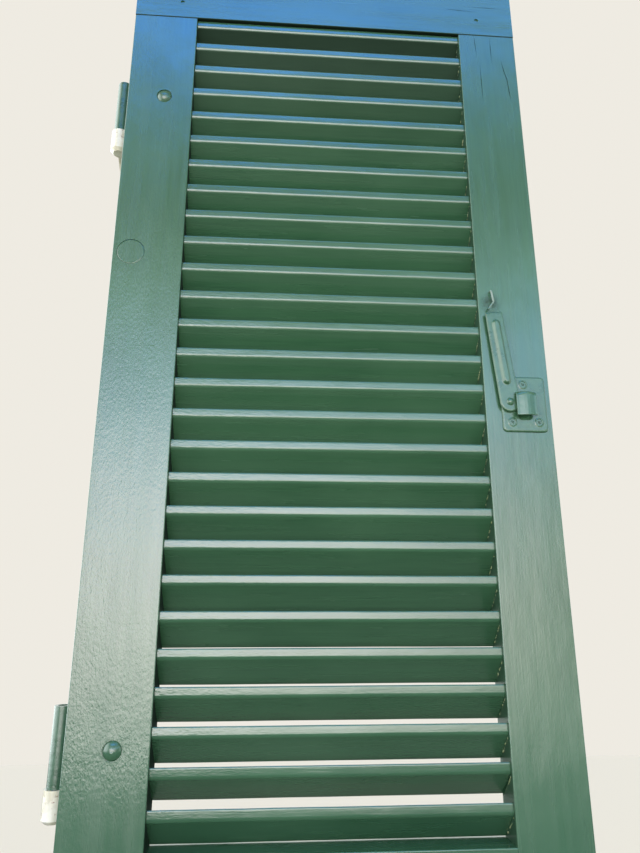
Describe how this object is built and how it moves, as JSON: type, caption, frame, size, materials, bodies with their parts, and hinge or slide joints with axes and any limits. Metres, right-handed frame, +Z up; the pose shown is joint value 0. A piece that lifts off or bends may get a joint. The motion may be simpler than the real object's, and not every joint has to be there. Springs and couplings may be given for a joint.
{
  "type": "louvred shutter",
  "caption": "Painted wooden louvred window shutter leaf with fixed slanted slats, hung by rolled strap hinges on wall pintles, with a pressed turning latch on its meeting stile.",
  "frame": {"origin": "middle of the back face of the lower pintle's wall plate", "axes": "+X along the wall from the hinge side to the meeting stile, +Y into the wall so that the leaf's front faces -Y, +Z up"},
  "size_m": [0.585, 0.0825, 1.3031],
  "materials": {
    "green_wood": "semi-gloss green paint over visible grain",
    "green_metal": "the same green paint, thick and glossy",
    "cream_metal": "cream paint with a little rust",
    "pin_steel": "greased steel"
  },
  "bodies": {
    "pintles": {"lower_pintle": "cream_metal", "upper_pintle": "cream_metal", "lower_pintle_pin": "pin_steel", "upper_pintle_pin": "pin_steel"},
    "leaf": {"hinge_stile": "green_wood", "meeting_stile": "green_wood", "top_rail": "green_wood", "bottom_rail": "green_wood", "slat_01": "green_wood", "slat_02": "green_wood", "slat_03": "green_wood", "slat_04": "green_wood", "slat_05": "green_wood", "slat_06": "green_wood", "slat_07": "green_wood", "slat_08": "green_wood", "slat_09": "green_wood", "slat_10": "green_wood", "slat_11": "green_wood", "slat_12": "green_wood", "slat_13": "green_wood", "slat_14": "green_wood", "slat_15": "green_wood", "slat_16": "green_wood", "slat_17": "green_wood", "slat_18": "green_wood", "slat_19": "green_wood", "slat_20": "green_wood", "slat_21": "green_wood", "slat_22": "green_wood", "slat_23": "green_wood", "slat_24": "green_wood", "slat_25": "green_wood", "slat_26": "green_wood", "slat_27": "green_wood", "stile_plug": "green_wood", "rail_nails": "green_metal", "lower_hinge_strap": "green_metal", "upper_hinge_strap": "green_metal", "strap_screws": "green_metal", "carriage_bolts": "green_metal", "bolt_washers": "green_metal", "bolt_nuts": "green_metal", "latch_plate": "green_metal", "latch_screws": "green_metal", "latch_rivet": "green_metal", "lever_keeper": "green_metal"},
    "latch_lever": {"latch_lever": "green_metal"}
  },
  "joints": [
    {"name": "leaf_swing", "type": "hinge", "parent": "pintles", "child": "leaf", "pos_m": [-0.015, -0.038, 0.0578], "axis": [0, 0, -1], "range_deg": [0, 180]},
    {"name": "latch_turn", "type": "hinge", "parent": "leaf", "child": "latch_lever", "pos_m": [0.504, -0.07665, 0.4498], "axis": [0, -1, 0], "range_deg": [0, 150]}
  ]
}
